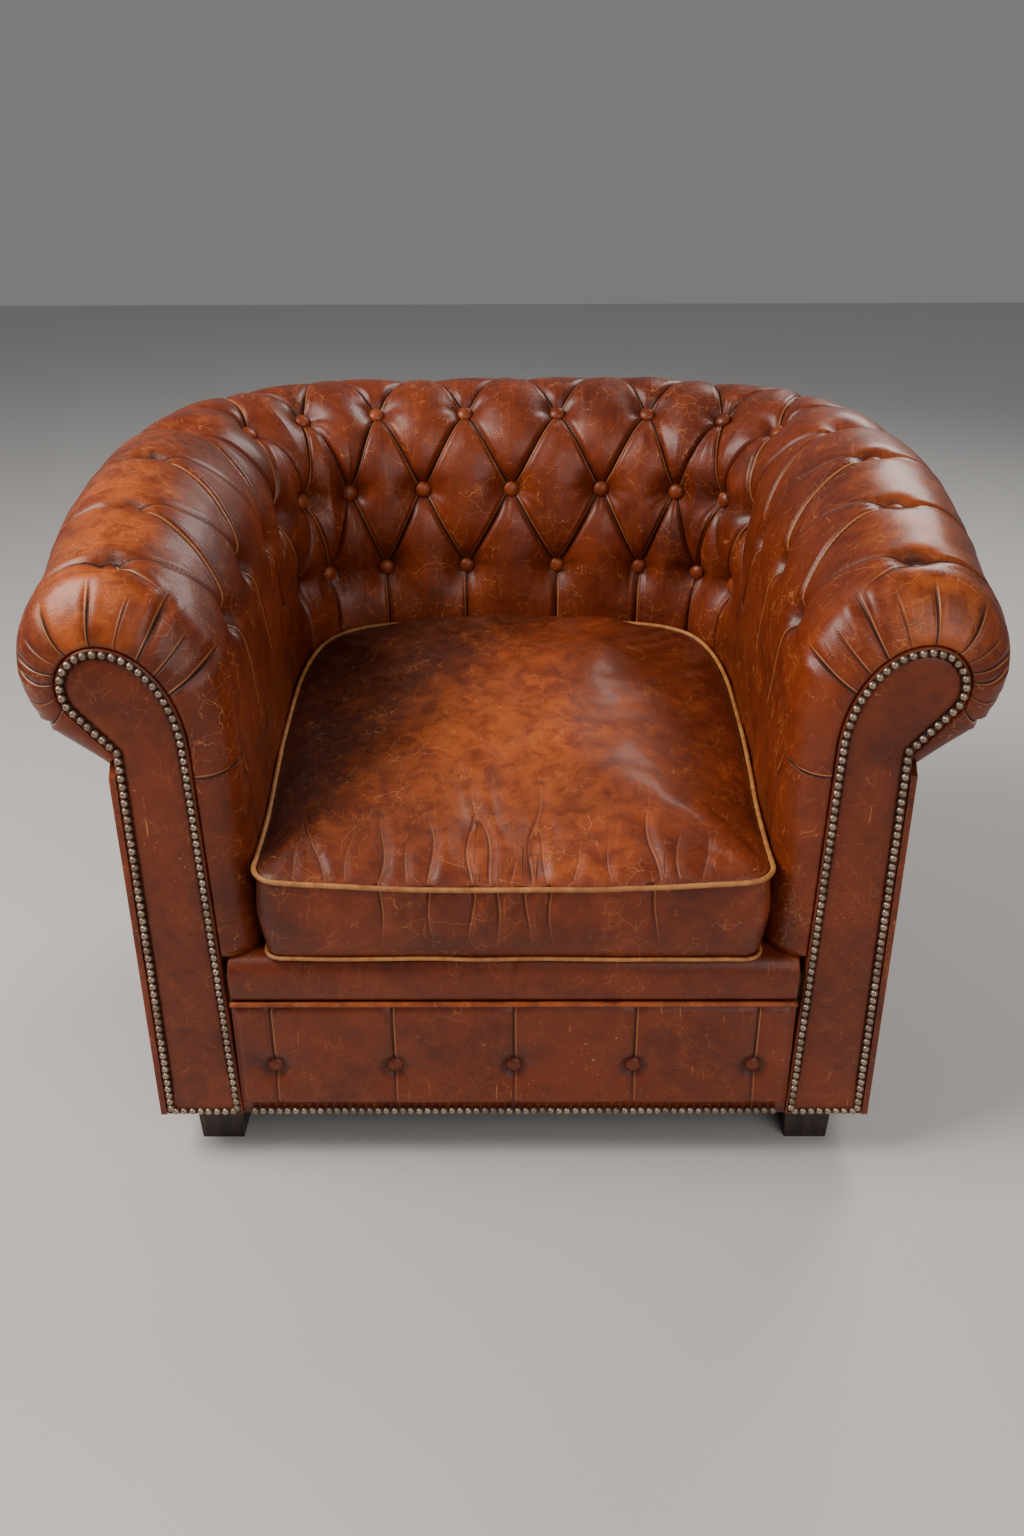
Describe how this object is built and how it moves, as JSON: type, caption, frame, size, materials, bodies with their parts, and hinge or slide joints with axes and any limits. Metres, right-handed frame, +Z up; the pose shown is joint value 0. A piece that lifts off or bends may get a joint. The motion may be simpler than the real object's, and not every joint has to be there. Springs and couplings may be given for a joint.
{
  "type": "club chair",
  "caption": "Worn leather club chair with a low buttoned tub back, rolled arms with studded facings, a loose piped seat cushion and square block feet.",
  "frame": {"origin": "on the floor, under the middle of the whole chair", "axes": "+Z up, -Y is the way the sitter faces, +X runs to the arm at the right of the picture"},
  "size_m": [0.9888, 0.802, 0.7685],
  "materials": {
    "upholstery_leather": "reddish cognac, glossy, worn and crackled",
    "cushion_leather": "reddish cognac, rubbed orange in the middle, dark patina at the side",
    "piping_leather": "golden tan, worn",
    "nail_brass": "antique bronze, dull",
    "foot_wood": "dark stain, scuffed",
    "frame_wood": "bare hardwood",
    "spring_steel": "bare spring wire",
    "deck_cloth": "hessian and padded lining",
    "dust_cloth": "black lining cloth"
  },
  "bodies": {
    "root": {"buttoned_cover": "upholstery_leather", "facing_left": "upholstery_leather", "facing_right": "upholstery_leather", "outside_back": "upholstery_leather", "outside_arm_left": "upholstery_leather", "outside_arm_right": "upholstery_leather", "front_panel": "upholstery_leather", "front_button_1": "upholstery_leather", "front_button_2": "upholstery_leather", "front_button_3": "upholstery_leather", "front_button_4": "upholstery_leather", "front_button_5": "upholstery_leather", "front_lip": "upholstery_leather", "seat_cushion": "cushion_leather", "front_lip_piping": "piping_leather", "cushion_piping_top": "piping_leather", "cushion_piping_bottom": "piping_leather", "nail_row_left": "nail_brass", "nail_row_right": "nail_brass", "nail_row_base": "nail_brass", "foot_front_left": "foot_wood", "foot_front_right": "foot_wood", "foot_back_left": "foot_wood", "foot_back_right": "foot_wood", "base_rail_back": "frame_wood", "base_rail_left": "frame_wood", "base_rail_right": "frame_wood", "seat_rail_back": "frame_wood", "seat_rail_left": "frame_wood", "seat_rail_right": "frame_wood", "roll_rail_back": "frame_wood", "roll_rail_left": "frame_wood", "roll_rail_right": "frame_wood", "upright_left_arm": "frame_wood", "upright_left_corner": "frame_wood", "upright_back": "frame_wood", "upright_right_corner": "frame_wood", "upright_right_arm": "frame_wood", "front_post_left": "frame_wood", "front_post_right": "frame_wood", "front_rail": "frame_wood", "corner_block_front_left": "frame_wood", "corner_block_front_right": "frame_wood", "corner_block_back_left": "frame_wood", "corner_block_back_right": "frame_wood", "zigzag_spring_1": "spring_steel", "zigzag_spring_2": "spring_steel", "zigzag_spring_3": "spring_steel", "zigzag_spring_4": "spring_steel", "zigzag_spring_5": "spring_steel", "spring_cloth": "deck_cloth", "seat_deck": "deck_cloth", "dust_cover": "dust_cloth"}
  },
  "joints": []
}
